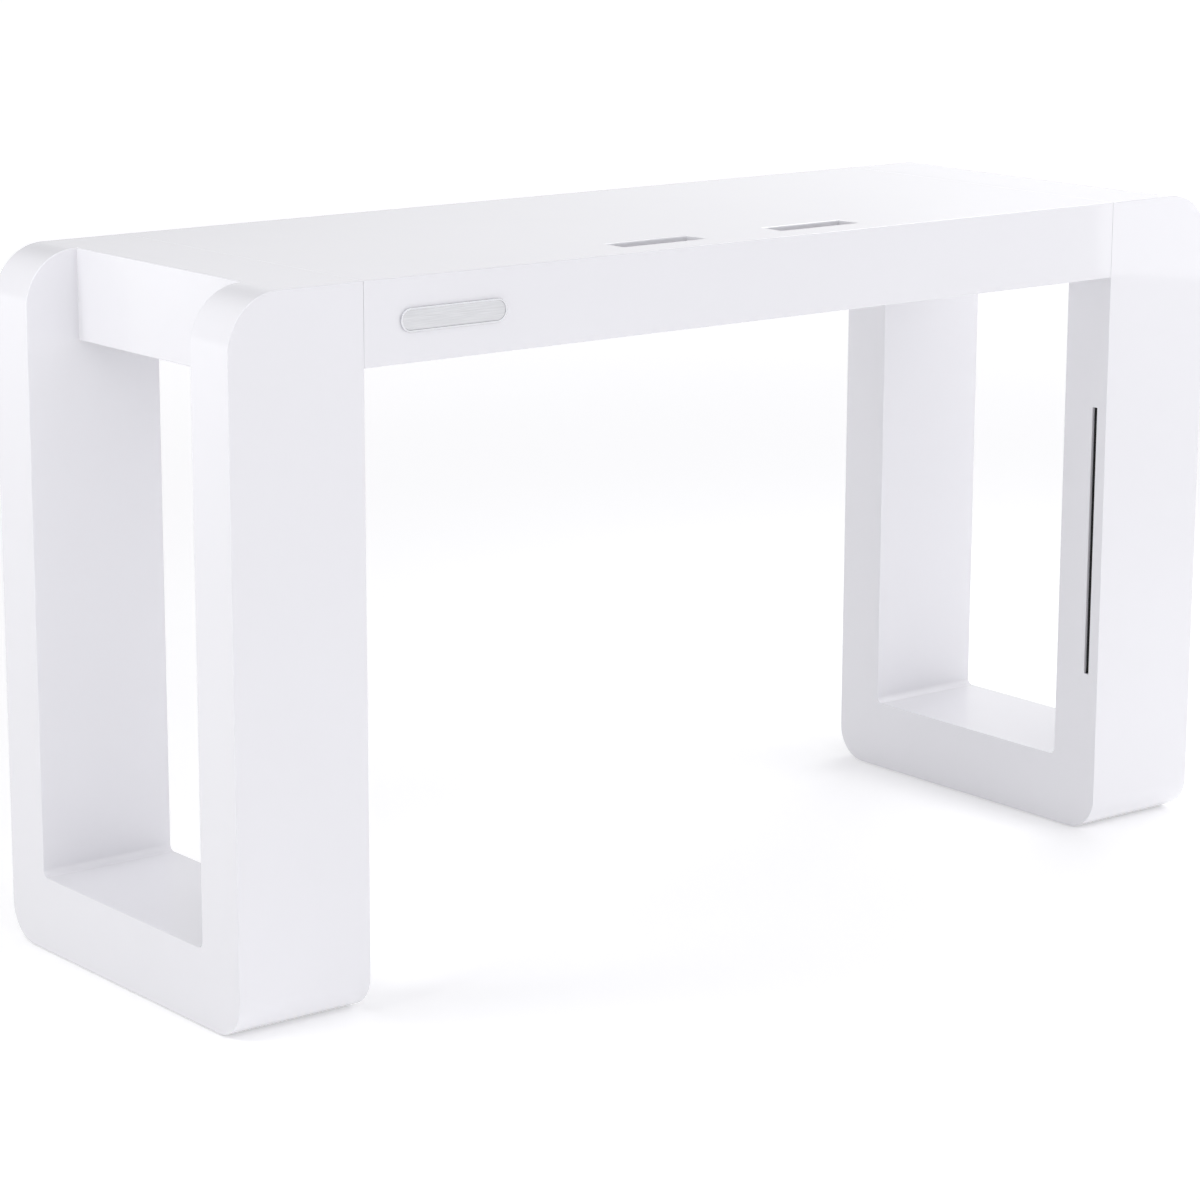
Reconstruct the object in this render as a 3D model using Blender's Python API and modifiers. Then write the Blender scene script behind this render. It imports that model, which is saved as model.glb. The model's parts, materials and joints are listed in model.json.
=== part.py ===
"""A gloss white desk: two loop legs carry a hollow beam with two cable slots in its top.

Metres, +Z up. X runs along the desk, -Y is the side with the badge, and the origin is on the
floor under the middle of the whole desk. Every board, block, fastener and foot is one object.
"""

import math

import bmesh
import bpy
from mathutils import Matrix

# ---- driving dimensions -------------------------------------------------------------------------
LENGTH = 1.632            # outer face of one leg to outer face of the other
DEPTH = 0.533             # front face to rear face
HEIGHT = 0.900            # floor to worktop
LEG_WIDTH = 0.190         # each leg, along X
POST_DEPTH = 0.080        # each post of a leg, along Y
RAIL_TOP = 0.100          # top of a leg's bottom rail, above the floor
BEAM_HEIGHT = 0.104       # worktop to underside of the beam
LEG_BOX_HEIGHT = 0.116    # worktop to the lower edge of a leg's end panel
PANEL_RECESS = 0.074      # end panel, behind the outer faces of the posts
TOP_RADIUS = 0.072        # outer top corner of every post, seen from the front
FOOT_RADIUS = 0.048       # bottom corners of a leg, seen from the side
OPENING_RADIUS = 0.009    # bottom corners of a leg's opening
GAP = 0.0003              # between neighbouring pieces
MERGE = 0.00005           # points closer than this are one

# boards
TOP_BOARD = 0.018
END_BOARD = 0.016
SKIN = 0.012
RIB = 0.018
RIB_X = 0.380

# cable slots through the beam
SLOT_LENGTH = 0.131
SLOT_WIDTH = 0.037
SLOT_X = 0.1305           # centre of each slot, left and right of the middle
SLOT_SETBACK = 0.048      # front edge of a slot, behind the front face

# black strips let into the inner faces of the front posts
STRIP_WIDTH = 0.009
STRIP_BOTTOM = 0.230
STRIP_TOP = 0.612
STRIP_SETBACK = 0.0175
GROOVE_DEPTH = 0.008
STRIP_THICKNESS = 0.004

# badge plate on the front of the beam
BADGE_LENGTH = 0.157
BADGE_HEIGHT = 0.029
BADGE_PLATE = 0.0025
BADGE_X = -0.4955         # centre, from the middle of the desk

# levelling feet
FLOOR_CLEARANCE = 0.0015  # under the legs, with the feet wound in
PAD_RADIUS = 0.015
PAD_HEIGHT = 0.004
STUD_RADIUS = 0.004
STUD_TOP = 0.050
FOOT_EDGE = 0.0008        # on the pad's rim and the stud's tip
RECESS_RADIUS = 0.0165
RECESS_DEPTH = 0.0045
INSERT_RADIUS = 0.006
INSERT_LENGTH = 0.018
FLANGE_RADIUS = 0.009
FLANGE_HEIGHT = 0.0015
FOOT_INSET = 0.095        # centre of a foot, from the front or rear face
FOOT_BLOCK = (0.110, 0.050, 0.045)   # X, Y, Z

# bolts that hold the legs to the beam, and the steel strips that they screw into (X, Y, Z)
BOLT_RADIUS = 0.004
BOLT_HOLE = 0.0045
BOLT_HEAD_RADIUS = 0.0075
BOLT_HEAD_HEIGHT = 0.0055
BOLT_LENGTH = 0.046
BOLT_SPACING = 0.165
NUT_STRIP = (0.005, 0.390, 0.030)

# service cover under each leg's box
CLEAT = 0.020
SCREW_RADIUS = 0.002
SCREW_HOLE = 0.0023
SCREW_HEAD_RADIUS = 0.004
SCREW_HEAD_HOLE = 0.0043
SCREW_HEAD_HEIGHT = 0.0022
SCREW_LENGTH = 0.024
SCREW_TIP_RADIUS = 0.001
SCREW_TIP_LENGTH = 0.005

# ---- places worked out from them ----------------------------------------------------------------
CAP_HEIGHT = TOP_RADIUS + SKIN
BADGE_PROUD = BADGE_PLATE + GAP
FRONT = (BADGE_PROUD - DEPTH) / 2
REAR = FRONT + DEPTH
BASE = FLOOR_CLEARANCE
OPENING_FRONT = FRONT + POST_DEPTH
OPENING_REAR = REAR - POST_DEPTH
POST_TOP = HEIGHT - CAP_HEIGHT
BOX_BOTTOM = HEIGHT - LEG_BOX_HEIGHT
BEAM_BOTTOM = HEIGHT - BEAM_HEIGHT
UNDER_TOP = HEIGHT - TOP_BOARD - GAP
LEG_IN = LENGTH / 2 - LEG_WIDTH
BEAM_END = LEG_IN - GAP
MIDDLE_Y = (FRONT + REAR) / 2
BEAM_CORE_Z = (BEAM_BOTTOM + HEIGHT) / 2
WRAP_NEAR = SKIN + GAP                     # edges of the wrap and liner, in from the outer face
WRAP_FAR = LEG_WIDTH - END_BOARD - GAP

# facets
ARC_STEPS = 10
ROUND_STEPS = 16

STANDING_X = Matrix(((0, 0, 1), (1, 0, 0), (0, 1, 0))).to_4x4()   # outline in YZ, thickness in X
STANDING_Y = Matrix(((1, 0, 0), (0, 0, -1), (0, 1, 0))).to_4x4()  # outline in XZ, thickness in Y


# ---- scene and materials ------------------------------------------------------------------------
def empty_scene():
    for obj in list(bpy.data.objects):
        bpy.data.objects.remove(obj, do_unlink=True)


def collection(name):
    group = bpy.data.collections.new(name)
    bpy.context.scene.collection.children.link(group)
    return group


def material(name, colour, roughness, metallic=0.0):
    made = bpy.data.materials.new(name)
    made.use_nodes = True
    shader = made.node_tree.nodes["Principled BSDF"]
    shader.inputs["Base Color"].default_value = (*colour, 1.0)
    shader.inputs["Roughness"].default_value = roughness
    shader.inputs["Metallic"].default_value = metallic
    made.diffuse_color = (*colour, 1.0)
    return made


empty_scene()
DESK = collection("desk")
CUTTERS = collection("cutters")
LACQUER = material("white_lacquer", (0.86, 0.87, 0.89), 0.08)
FIBREBOARD = material("fibreboard", (0.52, 0.40, 0.27), 0.75)
HARDWOOD = material("hardwood", (0.62, 0.45, 0.28), 0.6)
STEEL = material("zinc_steel", (0.62, 0.63, 0.65), 0.35, 1.0)
BADGE_METAL = material("badge_metal", (0.70, 0.70, 0.72), 0.3, 1.0)
BLACK_RUBBER = material("black_rubber", (0.02, 0.02, 0.022), 0.6)
PAD_PLASTIC = material("pad_plastic", (0.03, 0.03, 0.03), 0.5)


# ---- shapes -------------------------------------------------------------------------------------
def keep(obj, name, look):
    """Names an object, gives it its material and puts it in the desk."""
    obj.name = name
    obj.data.name = name
    obj.data.materials.clear()
    obj.data.materials.append(look)
    for group in list(obj.users_collection):
        group.objects.unlink(obj)
    DESK.objects.link(obj)
    return obj


def as_cutter(obj):
    for group in list(obj.users_collection):
        group.objects.unlink(obj)
    CUTTERS.objects.link(obj)
    obj.hide_render = True
    obj.display_type = "WIRE"
    return obj


def block(x, y, z):
    """A box from three (low, high) pairs."""
    bpy.ops.mesh.primitive_cube_add(size=1)
    obj = bpy.context.object
    sides = (x, y, z)
    obj.location = [(low + high) / 2 for low, high in sides]
    obj.data.transform(Matrix.Diagonal([abs(high - low) for low, high in sides]).to_4x4())
    return obj


def rounded(corners):
    """The points of an outline whose corners are (u, v, radius), each round one as an arc."""
    points = []
    count = len(corners)
    for index, (u, v, radius) in enumerate(corners):
        if not radius:
            points.append((u, v))
            continue
        arms = []
        for other in (corners[index - 1], corners[(index + 1) % count]):
            length = math.hypot(other[0] - u, other[1] - v)
            arms.append(((other[0] - u) / length, (other[1] - v) / length))
        (before_u, before_v), (after_u, after_v) = arms
        centre_u = u + radius * (before_u + after_u)
        centre_v = v + radius * (before_v + after_v)
        for step in range(ARC_STEPS + 1):
            turn = step / ARC_STEPS * math.pi / 2
            points.append((
                centre_u - radius * (after_u * math.cos(turn) + before_u * math.sin(turn)),
                centre_v - radius * (after_v * math.cos(turn) + before_v * math.sin(turn)),
            ))
    return points


def plate(outlines, low, high, stand):
    """A board between low and high along its thickness; the second outline onwards are holes."""
    curve = bpy.data.curves.new("outline", "CURVE")
    curve.dimensions = "2D"
    curve.fill_mode = "BOTH"
    curve.extrude = (high - low) / 2
    for points in outlines:
        spline = curve.splines.new("POLY")
        spline.points.add(len(points) - 1)
        spline.use_cyclic_u = True
        for point, (u, v) in zip(spline.points, points):
            point.co = (u, v, 0, 1)
    guide = bpy.data.objects.new("outline", curve)
    bpy.context.scene.collection.objects.link(guide)
    bpy.context.view_layer.update()
    graph = bpy.context.evaluated_depsgraph_get()
    mesh = bpy.data.meshes.new_from_object(guide.evaluated_get(graph))
    bpy.data.objects.remove(guide)
    bpy.data.curves.remove(curve)
    shape = bmesh.new()
    shape.from_mesh(mesh)
    bmesh.ops.remove_doubles(shape, verts=shape.verts, dist=MERGE)
    bmesh.ops.translate(shape, verts=shape.verts, vec=(0, 0, (low + high) / 2))
    bmesh.ops.transform(shape, matrix=stand, verts=shape.verts)
    bmesh.ops.recalc_face_normals(shape, faces=shape.faces)
    shape.to_mesh(mesh)
    shape.free()
    obj = bpy.data.objects.new("plate", mesh)
    bpy.context.scene.collection.objects.link(obj)
    return obj


def turned(profile, place, axis="Z"):
    """A turned shape: (radius, height) points down its outer side, on an axis through place."""
    mesh = bpy.data.meshes.new("profile")
    edges = [(index, index + 1) for index in range(len(profile) - 1)]
    mesh.from_pydata([(radius, 0, height) for radius, height in profile], edges, [])
    obj = bpy.data.objects.new("turned", mesh)
    bpy.context.scene.collection.objects.link(obj)
    screw = obj.modifiers.new("turn", "SCREW")
    screw.steps = ROUND_STEPS
    screw.render_steps = ROUND_STEPS
    screw.use_merge_vertices = True
    screw.merge_threshold = MERGE
    obj.location = place
    if axis == "X":
        obj.rotation_euler = (0, math.pi / 2, 0)
    return obj


def rod(radius, low, high, place, axis="Z"):
    """A plain round bar from low to high along the axis, measured from place."""
    return turned([(0, high), (radius, high), (radius, low), (0, low)], place, axis)


def stepped_hole(wide, narrow, low, step, high, place):
    """A cutter for a hole that is wide from low to step and narrow from there to high."""
    profile = [(0, high), (narrow, high), (narrow, step), (wide, step), (wide, low), (0, low)]
    return as_cutter(turned(profile, place))


def combine(obj, other, operation):
    boolean = obj.modifiers.new(operation.lower(), "BOOLEAN")
    boolean.operation = operation
    boolean.solver = "EXACT"
    boolean.object = other


def cut(obj, *cutters):
    for cutter in cutters:
        combine(obj, cutter, "DIFFERENCE")


# ---- one leg ------------------------------------------------------------------------------------
class Leg:
    """One loop leg. side is -1 for the left and +1 for the right, and the two are mirrored."""

    def __init__(self, side):
        self.side = side
        self.word = "left" if side < 0 else "right"

    def name(self, piece):
        return f"{self.word}_{piece}"

    def across(self, near, far):
        """An X span given as distances in from the leg's outer face."""
        ends = [self.side * (LENGTH / 2 - near), self.side * (LENGTH / 2 - far)]
        return min(ends), max(ends)

    def standing_plate(self, outlines, near, far):
        low, high = self.across(near, far)
        return plate(outlines, low, high, STANDING_X)

    def build(self):
        self.outer_cheek()
        self.inner_frame()
        self.outer_wrap()
        self.opening_liner()
        self.post_caps()
        self.top_box()
        self.service_cover()
        for word, y in (("front", FRONT + FOOT_INSET), ("rear", REAR - FOOT_INSET)):
            self.levelling_foot(word, y)

    def bottom_corners(self, inset=0.0):
        """The leg's front and rear bottom corners seen from the side, moved in by inset."""
        radius = FOOT_RADIUS - inset
        return (
            (FRONT + inset, BASE + inset, radius),
            (REAR - inset, BASE + inset, radius),
        )

    def outer_cheek(self):
        corner_front, corner_rear = self.bottom_corners()
        outline = rounded([
            corner_front, corner_rear,
            (REAR, POST_TOP - GAP, 0), (OPENING_REAR, POST_TOP - GAP, 0),
            (OPENING_REAR, RAIL_TOP, OPENING_RADIUS), (OPENING_FRONT, RAIL_TOP, OPENING_RADIUS),
            (OPENING_FRONT, POST_TOP - GAP, 0), (FRONT, POST_TOP - GAP, 0),
        ])
        keep(self.standing_plate([outline], 0, SKIN), self.name("outer_cheek"), LACQUER)

    def inner_frame(self):
        """The closed frame that the beam bolts to, with a groove for the black strip."""
        corner_front, corner_rear = self.bottom_corners()
        outline = rounded([
            corner_front, corner_rear,
            (REAR, POST_TOP - GAP, 0), (OPENING_REAR + GAP, POST_TOP - GAP, 0),
            (OPENING_REAR + GAP, UNDER_TOP, 0), (OPENING_FRONT - GAP, UNDER_TOP, 0),
            (OPENING_FRONT - GAP, POST_TOP - GAP, 0), (FRONT, POST_TOP - GAP, 0),
        ])
        opening = rounded([
            (OPENING_FRONT, RAIL_TOP, OPENING_RADIUS), (OPENING_REAR, RAIL_TOP, OPENING_RADIUS),
            (OPENING_REAR, BOX_BOTTOM, 0), (OPENING_FRONT, BOX_BOTTOM, 0),
        ])
        frame = keep(self.standing_plate([outline, opening], LEG_WIDTH - END_BOARD, LEG_WIDTH),
                     self.name("inner_frame"), LACQUER)
        strip_y = (FRONT + STRIP_SETBACK, FRONT + STRIP_SETBACK + STRIP_WIDTH)
        groove = block(self.across(LEG_WIDTH - GROOVE_DEPTH, LEG_WIDTH + GROOVE_DEPTH),
                       strip_y, (STRIP_BOTTOM, STRIP_TOP))
        cut(frame, as_cutter(groove))
        strip_back = LEG_WIDTH - GROOVE_DEPTH + GAP
        strip = block(self.across(strip_back, strip_back + STRIP_THICKNESS),
                      (strip_y[0] + GAP, strip_y[1] - GAP), (STRIP_BOTTOM + GAP, STRIP_TOP - GAP))
        keep(strip, self.name("groove_strip"), BLACK_RUBBER)
        for row, _ in BOLT_PLACES:
            cut(frame, BOLT_HOLES[self.word, row])

    def outer_wrap(self):
        """Front, bottom and rear skin in one bent strip between the cheek and the frame."""
        corner_front, corner_rear = self.bottom_corners()
        inner_front, inner_rear = self.bottom_corners(SKIN)
        outline = rounded([
            corner_front, corner_rear,
            (REAR, POST_TOP - GAP, 0), (REAR - SKIN, POST_TOP - GAP, 0),
            inner_rear, inner_front,
            (FRONT + SKIN, POST_TOP - GAP, 0), (FRONT, POST_TOP - GAP, 0),
        ])
        wrap = keep(self.standing_plate([outline], WRAP_NEAR, WRAP_FAR), self.name("outer_wrap"), LACQUER)
        passage = FLANGE_RADIUS + 2 * GAP
        for y in (FRONT + FOOT_INSET, REAR - FOOT_INSET):
            centre = (self.foot_x(), y, BASE)
            cut(wrap, stepped_hole(RECESS_RADIUS, passage, -SKIN, RECESS_DEPTH, 2 * SKIN, centre))

    def opening_liner(self):
        """The boards round the leg's opening, in one strip behind its faces."""
        outline = rounded([
            (OPENING_FRONT - SKIN, RAIL_TOP - SKIN, OPENING_RADIUS + SKIN),
            (OPENING_REAR + SKIN, RAIL_TOP - SKIN, OPENING_RADIUS + SKIN),
            (OPENING_REAR + SKIN, POST_TOP - GAP, 0), (OPENING_REAR, POST_TOP - GAP, 0),
            (OPENING_REAR, RAIL_TOP, OPENING_RADIUS), (OPENING_FRONT, RAIL_TOP, OPENING_RADIUS),
            (OPENING_FRONT, POST_TOP - GAP, 0), (OPENING_FRONT - SKIN, POST_TOP - GAP, 0),
        ])
        keep(self.standing_plate([outline], WRAP_NEAR, WRAP_FAR), self.name("opening_liner"), LACQUER)

    def post_caps(self):
        """Solid blocks on top of the posts, with the round outer corner."""
        outer = self.side * LENGTH / 2
        inner = self.side * LEG_IN
        outline = rounded([
            (inner, POST_TOP, 0), (inner, HEIGHT, 0), (outer, HEIGHT, TOP_RADIUS), (outer, POST_TOP, 0),
        ])
        posts = (("front", FRONT, OPENING_FRONT - GAP), ("rear", OPENING_REAR + GAP, REAR))
        for word, low, high in posts:
            # The outline stands in XZ, so its thickness runs along -Y.
            keep(plate([outline], -high, -low, STANDING_Y), self.name(f"{word}_post_cap"), LACQUER)

    def top_box(self):
        """Top panel and recessed end panel of the box between the two posts."""
        between = (OPENING_FRONT + GAP, OPENING_REAR - GAP)
        top = block(self.across(PANEL_RECESS, LEG_WIDTH), between, (HEIGHT - TOP_BOARD, HEIGHT))
        keep(top, self.name("top_panel"), LACQUER)
        end = block(self.across(PANEL_RECESS, PANEL_RECESS + END_BOARD), between, (BOX_BOTTOM, UNDER_TOP))
        keep(end, self.name("end_panel"), LACQUER)

    def service_cover(self):
        """Removable floor of the box, screwed up into two cleats; the bolts are reached here."""
        near = PANEL_RECESS + END_BOARD + GAP
        middle_x = self.side * (LENGTH / 2 - (near + WRAP_FAR) / 2)
        cover_x = self.across(near, WRAP_FAR)
        low, high = OPENING_FRONT + GAP, OPENING_REAR - GAP
        cover = block(cover_x, (low, high), (BOX_BOTTOM, BOX_BOTTOM + SKIN))
        keep(cover, self.name("service_cover"), LACQUER)
        cleat_z = (BOX_BOTTOM + SKIN + GAP, BOX_BOTTOM + SKIN + GAP + CLEAT)
        cleats = (("front", (low, low + CLEAT)), ("rear", (high - CLEAT, high)))
        for word, cleat_y in cleats:
            centre = (middle_x, sum(cleat_y) / 2, BOX_BOTTOM)
            under_head = SCREW_HEAD_HEIGHT + GAP
            hole = stepped_hole(SCREW_HEAD_HOLE, SCREW_HOLE, -SKIN, under_head + GAP, 3 * CLEAT, centre)
            cut(cover, hole)
            cleat = keep(block(cover_x, cleat_y, cleat_z), self.name(f"{word}_cleat"), HARDWOOD)
            cut(cleat, hole)
            screw = turned([
                (0, SCREW_LENGTH), (SCREW_TIP_RADIUS, SCREW_LENGTH),
                (SCREW_RADIUS, SCREW_LENGTH - SCREW_TIP_LENGTH), (SCREW_RADIUS, under_head),
                (SCREW_HEAD_RADIUS, under_head), (SCREW_HEAD_RADIUS, GAP), (0, GAP),
            ], centre)
            keep(screw, self.name(f"{word}_cover_screw"), STEEL)

    def foot_x(self):
        """Midway between the outer cheek and the inner frame."""
        return self.side * (LENGTH / 2 - (WRAP_NEAR + WRAP_FAR) / 2)

    def levelling_foot(self, word, y):
        """A hardwood block with a flanged thread insert, and the screw-in foot below it."""
        x = self.foot_x()
        floor_of_block = BASE + SKIN + GAP
        half_x, half_y = FOOT_BLOCK[0] / 2, FOOT_BLOCK[1] / 2
        body_z = (floor_of_block, floor_of_block + FOOT_BLOCK[2])
        body = block((x - half_x, x + half_x), (y - half_y, y + half_y), body_z)
        keep(body, self.name(f"{word}_foot_block"), HARDWOOD)
        hole = stepped_hole(INSERT_RADIUS + GAP, STUD_RADIUS + 2 * GAP, -SKIN, INSERT_LENGTH + GAP,
                            2 * FOOT_BLOCK[2], (x, y, floor_of_block))
        cut(body, hole)
        bore = STUD_RADIUS + GAP
        sleeve_low = floor_of_block - GAP - FLANGE_HEIGHT
        sleeve_high = floor_of_block + INSERT_LENGTH
        insert = turned([
            (bore, sleeve_high), (INSERT_RADIUS, sleeve_high), (INSERT_RADIUS, floor_of_block - GAP),
            (FLANGE_RADIUS, floor_of_block - GAP), (FLANGE_RADIUS, sleeve_low), (bore, sleeve_low),
            (bore, sleeve_high),
        ], (x, y, 0))
        keep(insert, self.name(f"{word}_foot_insert"), STEEL)
        rim = PAD_RADIUS - FOOT_EDGE
        foot = turned([
            (0, STUD_TOP), (STUD_RADIUS - FOOT_EDGE, STUD_TOP), (STUD_RADIUS, STUD_TOP - FOOT_EDGE),
            (STUD_RADIUS, PAD_HEIGHT), (rim, PAD_HEIGHT), (PAD_RADIUS, PAD_HEIGHT - FOOT_EDGE),
            (PAD_RADIUS, FOOT_EDGE), (rim, 0), (0, 0),
        ], (x, y, 0))
        keep(foot, self.name(f"{word}_levelling_foot"), PAD_PLASTIC)


# ---- the beam -----------------------------------------------------------------------------------
def build_beam():
    whole = (-BEAM_END, BEAM_END)
    inside_y = (FRONT + TOP_BOARD + GAP, REAR - TOP_BOARD - GAP)
    core_z = (BEAM_BOTTOM + SKIN + GAP, UNDER_TOP)
    apron_z = (BEAM_BOTTOM, UNDER_TOP)
    bottom_z = (BEAM_BOTTOM, BEAM_BOTTOM + SKIN)
    top = keep(block(whole, (FRONT, REAR), (HEIGHT - TOP_BOARD, HEIGHT)), "beam_top_panel", LACQUER)
    keep(block(whole, (FRONT, FRONT + TOP_BOARD), apron_z), "beam_front_apron", LACQUER)
    keep(block(whole, (REAR - TOP_BOARD, REAR), apron_z), "beam_rear_apron", LACQUER)
    bottom = keep(block(whole, inside_y, bottom_z), "beam_bottom_panel", LACQUER)
    slot_y = (FRONT + SLOT_SETBACK, FRONT + SLOT_SETBACK + SLOT_WIDTH)
    for centre in (-SLOT_X, SLOT_X):
        slot_x = (centre - SLOT_LENGTH / 2, centre + SLOT_LENGTH / 2)
        slot = as_cutter(block(slot_x, slot_y, (BEAM_BOTTOM - SKIN, HEIGHT + SKIN)))
        cut(top, slot)
        cut(bottom, slot)
    for side, word in SIDES:
        ends = sorted((side * BEAM_END, side * (BEAM_END - END_BOARD)))
        end_plate = keep(block(ends, inside_y, core_z), f"beam_{word}_end_plate", FIBREBOARD)
        rib_x = (side * RIB_X - RIB / 2, side * RIB_X + RIB / 2)
        keep(block(rib_x, inside_y, core_z), f"beam_{word}_rib", FIBREBOARD)
        strip_face = BEAM_END - END_BOARD - GAP
        strip_x = sorted((side * strip_face, side * (strip_face - NUT_STRIP[0])))
        strip = block(strip_x, (MIDDLE_Y - NUT_STRIP[1] / 2, MIDDLE_Y + NUT_STRIP[1] / 2),
                      (BEAM_CORE_Z - NUT_STRIP[2] / 2, BEAM_CORE_Z + NUT_STRIP[2] / 2))
        keep(strip, f"beam_{word}_nut_strip", STEEL)
        for row, _ in BOLT_PLACES:
            cut(end_plate, BOLT_HOLES[word, row])
            cut(strip, BOLT_HOLES[word, row])


def build_bolts():
    """Hex bolts with their heads inside the leg boxes, screwed through into the nut strips."""
    for side, word in SIDES:
        head_face = side * (LEG_IN + END_BOARD + GAP)
        for row, y in BOLT_PLACES:
            low, high = sorted((side * BOLT_HEAD_HEIGHT / 2, -side * BOLT_LENGTH))
            bolt = rod(BOLT_RADIUS, low, high, (head_face, y, BEAM_CORE_Z), "X")
            keep(bolt, f"{word}_{row}_bolt", STEEL)
            bpy.ops.mesh.primitive_cylinder_add(
                vertices=6, radius=BOLT_HEAD_RADIUS, depth=BOLT_HEAD_HEIGHT)
            head = bpy.context.object
            head.location = (head_face + side * BOLT_HEAD_HEIGHT / 2, y, BEAM_CORE_Z)
            head.rotation_euler = (0, math.pi / 2, 0)
            combine(bolt, as_cutter(head), "UNION")


def build_badge():
    """A plain metal plate with round ends, stuck to the front of the beam."""
    half, radius = BADGE_LENGTH / 2, BADGE_HEIGHT / 2 - GAP
    low, high = BEAM_CORE_Z - BADGE_HEIGHT / 2, BEAM_CORE_Z + BADGE_HEIGHT / 2
    left, right = BADGE_X - half, BADGE_X + half
    outline = rounded([
        (left, low, radius), (right, low, radius), (right, high, radius), (left, high, radius),
    ])
    back = FRONT - GAP
    keep(plate([outline], -back, -(back - BADGE_PLATE), STANDING_Y), "badge_plate", BADGE_METAL)


SIDES = ((-1, "left"), (1, "right"))
BOLT_PLACES = (
    ("front", MIDDLE_Y - BOLT_SPACING), ("middle", MIDDLE_Y), ("rear", MIDDLE_Y + BOLT_SPACING),
)
BOLT_HOLES = {}
for side_sign, side_word in SIDES:
    for row_word, row_y in BOLT_PLACES:
        bore = rod(BOLT_HOLE, -BOLT_LENGTH, BOLT_LENGTH, (side_sign * LEG_IN, row_y, BEAM_CORE_Z), "X")
        BOLT_HOLES[side_word, row_word] = as_cutter(bore)

for side_sign, _ in SIDES:
    Leg(side_sign).build()
build_beam()
build_bolts()
build_badge()
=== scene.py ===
"""The looks of a gloss white loop-leg table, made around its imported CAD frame.

Each lacquered board is a finer copy of its CAD node: its outside edges are eased, its round corners
are smooth, and it meets the boards that it is glued to with no gap, so the lacquer looks unbroken.
Inner boards and fasteners are the CAD nodes themselves, with finished edges and materials.
"""

import json
import math

import bmesh
import bpy
from mathutils import Matrix, Quaternion, Vector


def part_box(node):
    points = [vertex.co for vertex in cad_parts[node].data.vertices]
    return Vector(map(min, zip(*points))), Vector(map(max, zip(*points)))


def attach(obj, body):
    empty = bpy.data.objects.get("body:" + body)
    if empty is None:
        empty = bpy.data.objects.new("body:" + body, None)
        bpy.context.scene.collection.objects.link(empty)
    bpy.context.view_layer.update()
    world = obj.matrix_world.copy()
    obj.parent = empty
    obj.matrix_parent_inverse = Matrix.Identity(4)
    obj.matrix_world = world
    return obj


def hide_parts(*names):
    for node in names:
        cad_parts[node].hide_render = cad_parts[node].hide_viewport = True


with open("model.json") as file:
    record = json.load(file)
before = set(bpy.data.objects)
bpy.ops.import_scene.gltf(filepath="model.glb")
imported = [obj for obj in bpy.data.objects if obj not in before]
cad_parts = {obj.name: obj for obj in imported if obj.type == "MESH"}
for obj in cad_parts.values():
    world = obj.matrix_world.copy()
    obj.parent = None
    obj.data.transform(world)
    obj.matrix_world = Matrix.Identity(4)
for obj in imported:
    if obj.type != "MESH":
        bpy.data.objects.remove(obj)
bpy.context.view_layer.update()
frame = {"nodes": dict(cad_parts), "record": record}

# ---- sizes that the frame's boxes don't give ------------------------------------------------------
TOP_RADIUS = 0.072        # outer top corner of a post
FOOT_RADIUS = 0.048       # bottom corners of a leg
OPENING_RADIUS = 0.009    # bottom corners of a leg's opening
EASE = 0.0012             # radius of the lacquered edges
FINE_EASE = 0.0003        # radius of small edges, and of edges that meet another board
SLOT_EASE = 0.0025        # radius of the cable slots' top edges
STRIP_EASE = 0.00012      # radius of the groove strip's edges
CAD_EASES = {"fibreboard": 0.0006, "hardwood": 0.0012, "zinc_steel": 0.0004}
PAD_RECESS_MARGIN = 0.0015
PAD_RECESS_DEPTH = 0.0045
SLOT_MARGIN = 0.001       # a cable slot beyond the opening that the record states
BADGE_RIM = 0.0022        # width of the badge's rim
BADGE_FIELD_DEPTH = 0.0009
HAIR = 1e-5               # keeps the two arcs of a round end apart
FINE = FINE_EASE / EASE   # the share of EASE that gives FINE_EASE

# ---- fineness of the meshes -----------------------------------------------------------------------
LARGE_ARC = 28            # steps in a quarter turn of a large corner
SMALL_ARC = 12            # and of a small one
ROUND_STEPS = 48          # steps in a full turn
SCREW_STEPS = 24
STUD_STEPS = 32
SHARP = math.radians(38)      # a corner that is eased
CAD_SHARP = math.radians(50)  # the same on the CAD nodes, whose rounds have larger steps

# ---- places read from the frame -------------------------------------------------------------------
CHEEK_LOW, CHEEK_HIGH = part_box("right_outer_cheek")
FRAME_LOW, FRAME_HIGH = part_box("right_inner_frame")
CAP_LOW, CAP_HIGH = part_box("right_front_post_cap")
REAR_CAP_LOW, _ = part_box("right_rear_post_cap")
PANEL_LOW, PANEL_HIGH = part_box("right_end_panel")
TOP_LOW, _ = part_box("right_top_panel")
LINER_LOW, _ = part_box("right_opening_liner")

OUTER = CHEEK_HIGH.x
INNER = FRAME_LOW.x
FRONT, REAR = CHEEK_LOW.y, CHEEK_HIGH.y
BASE = CHEEK_LOW.z
HEIGHT = CAP_HIGH.z
SKIN = CHEEK_HIGH.x - CHEEK_LOW.x
GAP = TOP_LOW.z - PANEL_HIGH.z
OPENING_FRONT = CAP_HIGH.y + GAP
OPENING_REAR = REAR_CAP_LOW.y - GAP
RAIL_TOP = LINER_LOW.z + SKIN
BOX_BOTTOM = PANEL_LOW.z
BEAM_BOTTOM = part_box("beam_bottom_panel")[0].z
CAP_JOIN = CAP_LOW.z - GAP / 2
CHEEK_JOIN = CHEEK_LOW.x - GAP / 2
FRAME_JOIN = FRAME_HIGH.x + GAP / 2
PANEL_FACE = PANEL_HIGH.x
TOP_JOIN = TOP_LOW.z - GAP / 2

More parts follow.
